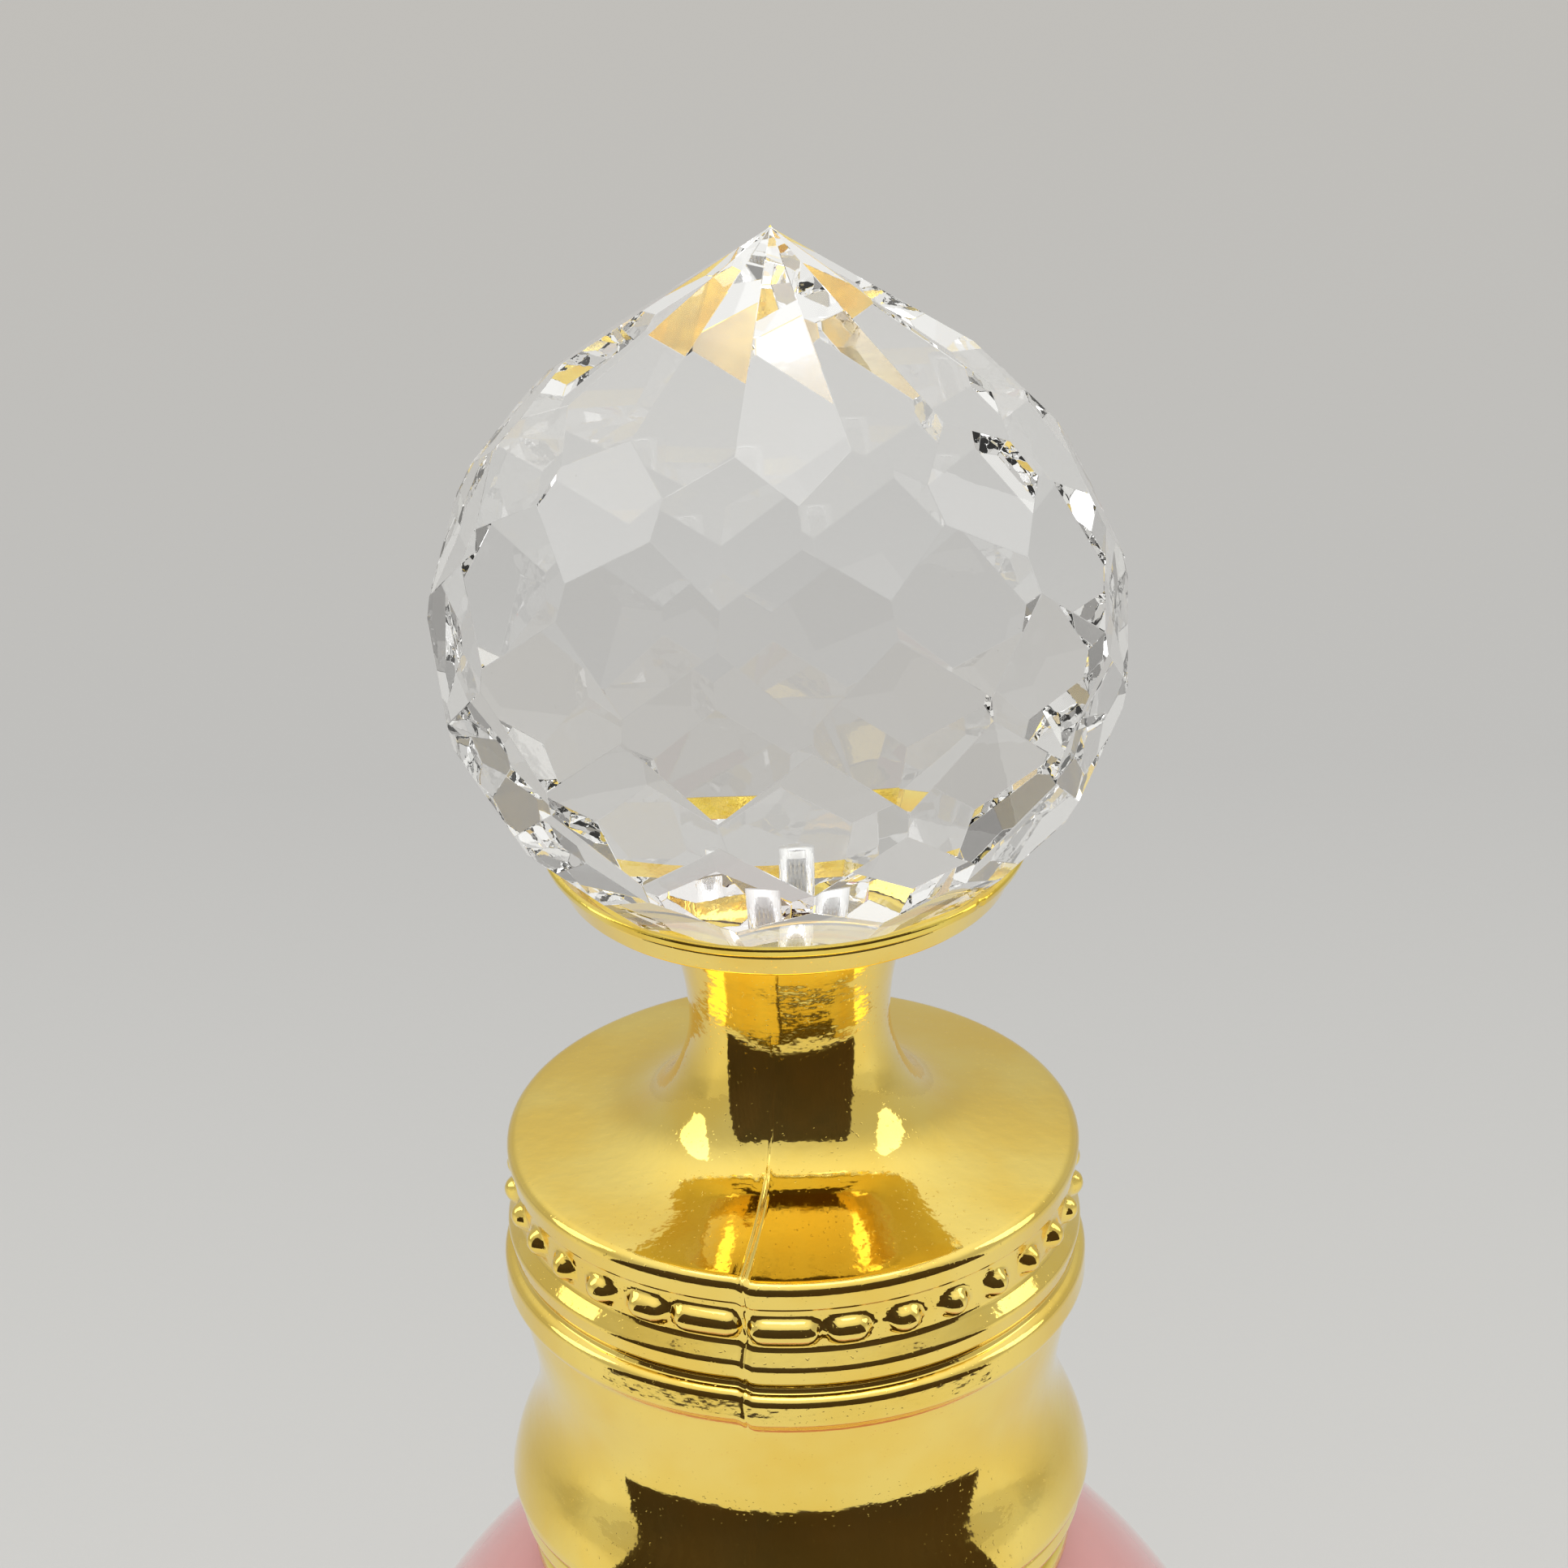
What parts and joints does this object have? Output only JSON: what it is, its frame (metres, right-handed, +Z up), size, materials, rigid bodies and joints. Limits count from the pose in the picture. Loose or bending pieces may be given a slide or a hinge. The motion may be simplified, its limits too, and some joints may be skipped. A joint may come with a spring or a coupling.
{
  "type": "perfume bottle",
  "caption": "Round pink glass perfume bottle with a crimped spray pump and a pull-off gilt cap, waisted and beaded, topped by a faceted crystal ball.",
  "frame": {"origin": "centre of the flat ring that the bottle stands on, on the bottle's axis", "axes": "+Z up along the bottle's axis, towards the crystal; -Y is the front, where the spray nozzle points"},
  "size_m": [0.05, 0.05, 0.1226],
  "materials": {
    "crystal": "clear cut lead-free crystal, flat polished facets",
    "gilt_metal": "thin pressed metal, bright gilt plating",
    "pin_steel": "bright drawn wire",
    "gilt_plastic": "moulded ABS, vacuum-metallised gold under clear lacquer",
    "natural_plastic": "natural polypropylene",
    "pink_glass": "pink-sprayed moulded glass, gloss",
    "gilt_collar": "bright gilt anodised aluminium",
    "bare_aluminium": "drawn aluminium",
    "grey_rubber": "elastomer gasket",
    "pump_plastic": "milky polyethylene",
    "spring_steel": "bright spring wire",
    "ball_steel": "polished bearing ball",
    "tube_plastic": "clear polyethylene tube",
    "button_plastic": "white polypropylene"
  },
  "bodies": {
    "bottle": {"glass_bottle": "pink_glass", "neck_collar": "gilt_collar", "crimp_ferrule": "bare_aluminium", "neck_gasket": "grey_rubber", "pump_housing": "pump_plastic", "stem_guide": "pump_plastic", "return_spring": "spring_steel", "dip_tube": "tube_plastic"},
    "cap": {"cap_shell": "gilt_plastic", "cap_friction_sleeve": "natural_plastic", "crystal_dish": "gilt_metal", "crystal_pin": "pin_steel", "crystal_ball": "crystal"},
    "plunger": {"pump_stem": "pump_plastic", "pump_piston": "natural_plastic"},
    "spray_head": {"spray_button": "button_plastic", "button_sheath": "gilt_metal", "nozzle_insert": "button_plastic"},
    "check_ball": {"inlet_ball": "ball_steel"}
  },
  "joints": [
    {"name": "cap_lift", "type": "slide", "parent": "bottle", "child": "cap", "axis": [0, 0, 1], "range_m": [0, 0.03]},
    {"name": "pump_press", "type": "slide", "parent": "bottle", "child": "plunger", "axis": [0, 0, -1], "range_m": [0, 0.0045], "stiffness_N_per_m": 1500, "springref_m": -0.003, "deforming": ["return_spring"]},
    {"name": "head_turn", "type": "hinge", "parent": "plunger", "child": "spray_head", "pos_m": [0, 0, 0.0744], "axis": [0, 0, 1], "continuous": true},
    {"name": "inlet_ball_lift", "type": "slide", "parent": "bottle", "child": "check_ball", "axis": [0, 0, 1], "range_m": [0, 0.0008]}
  ]
}
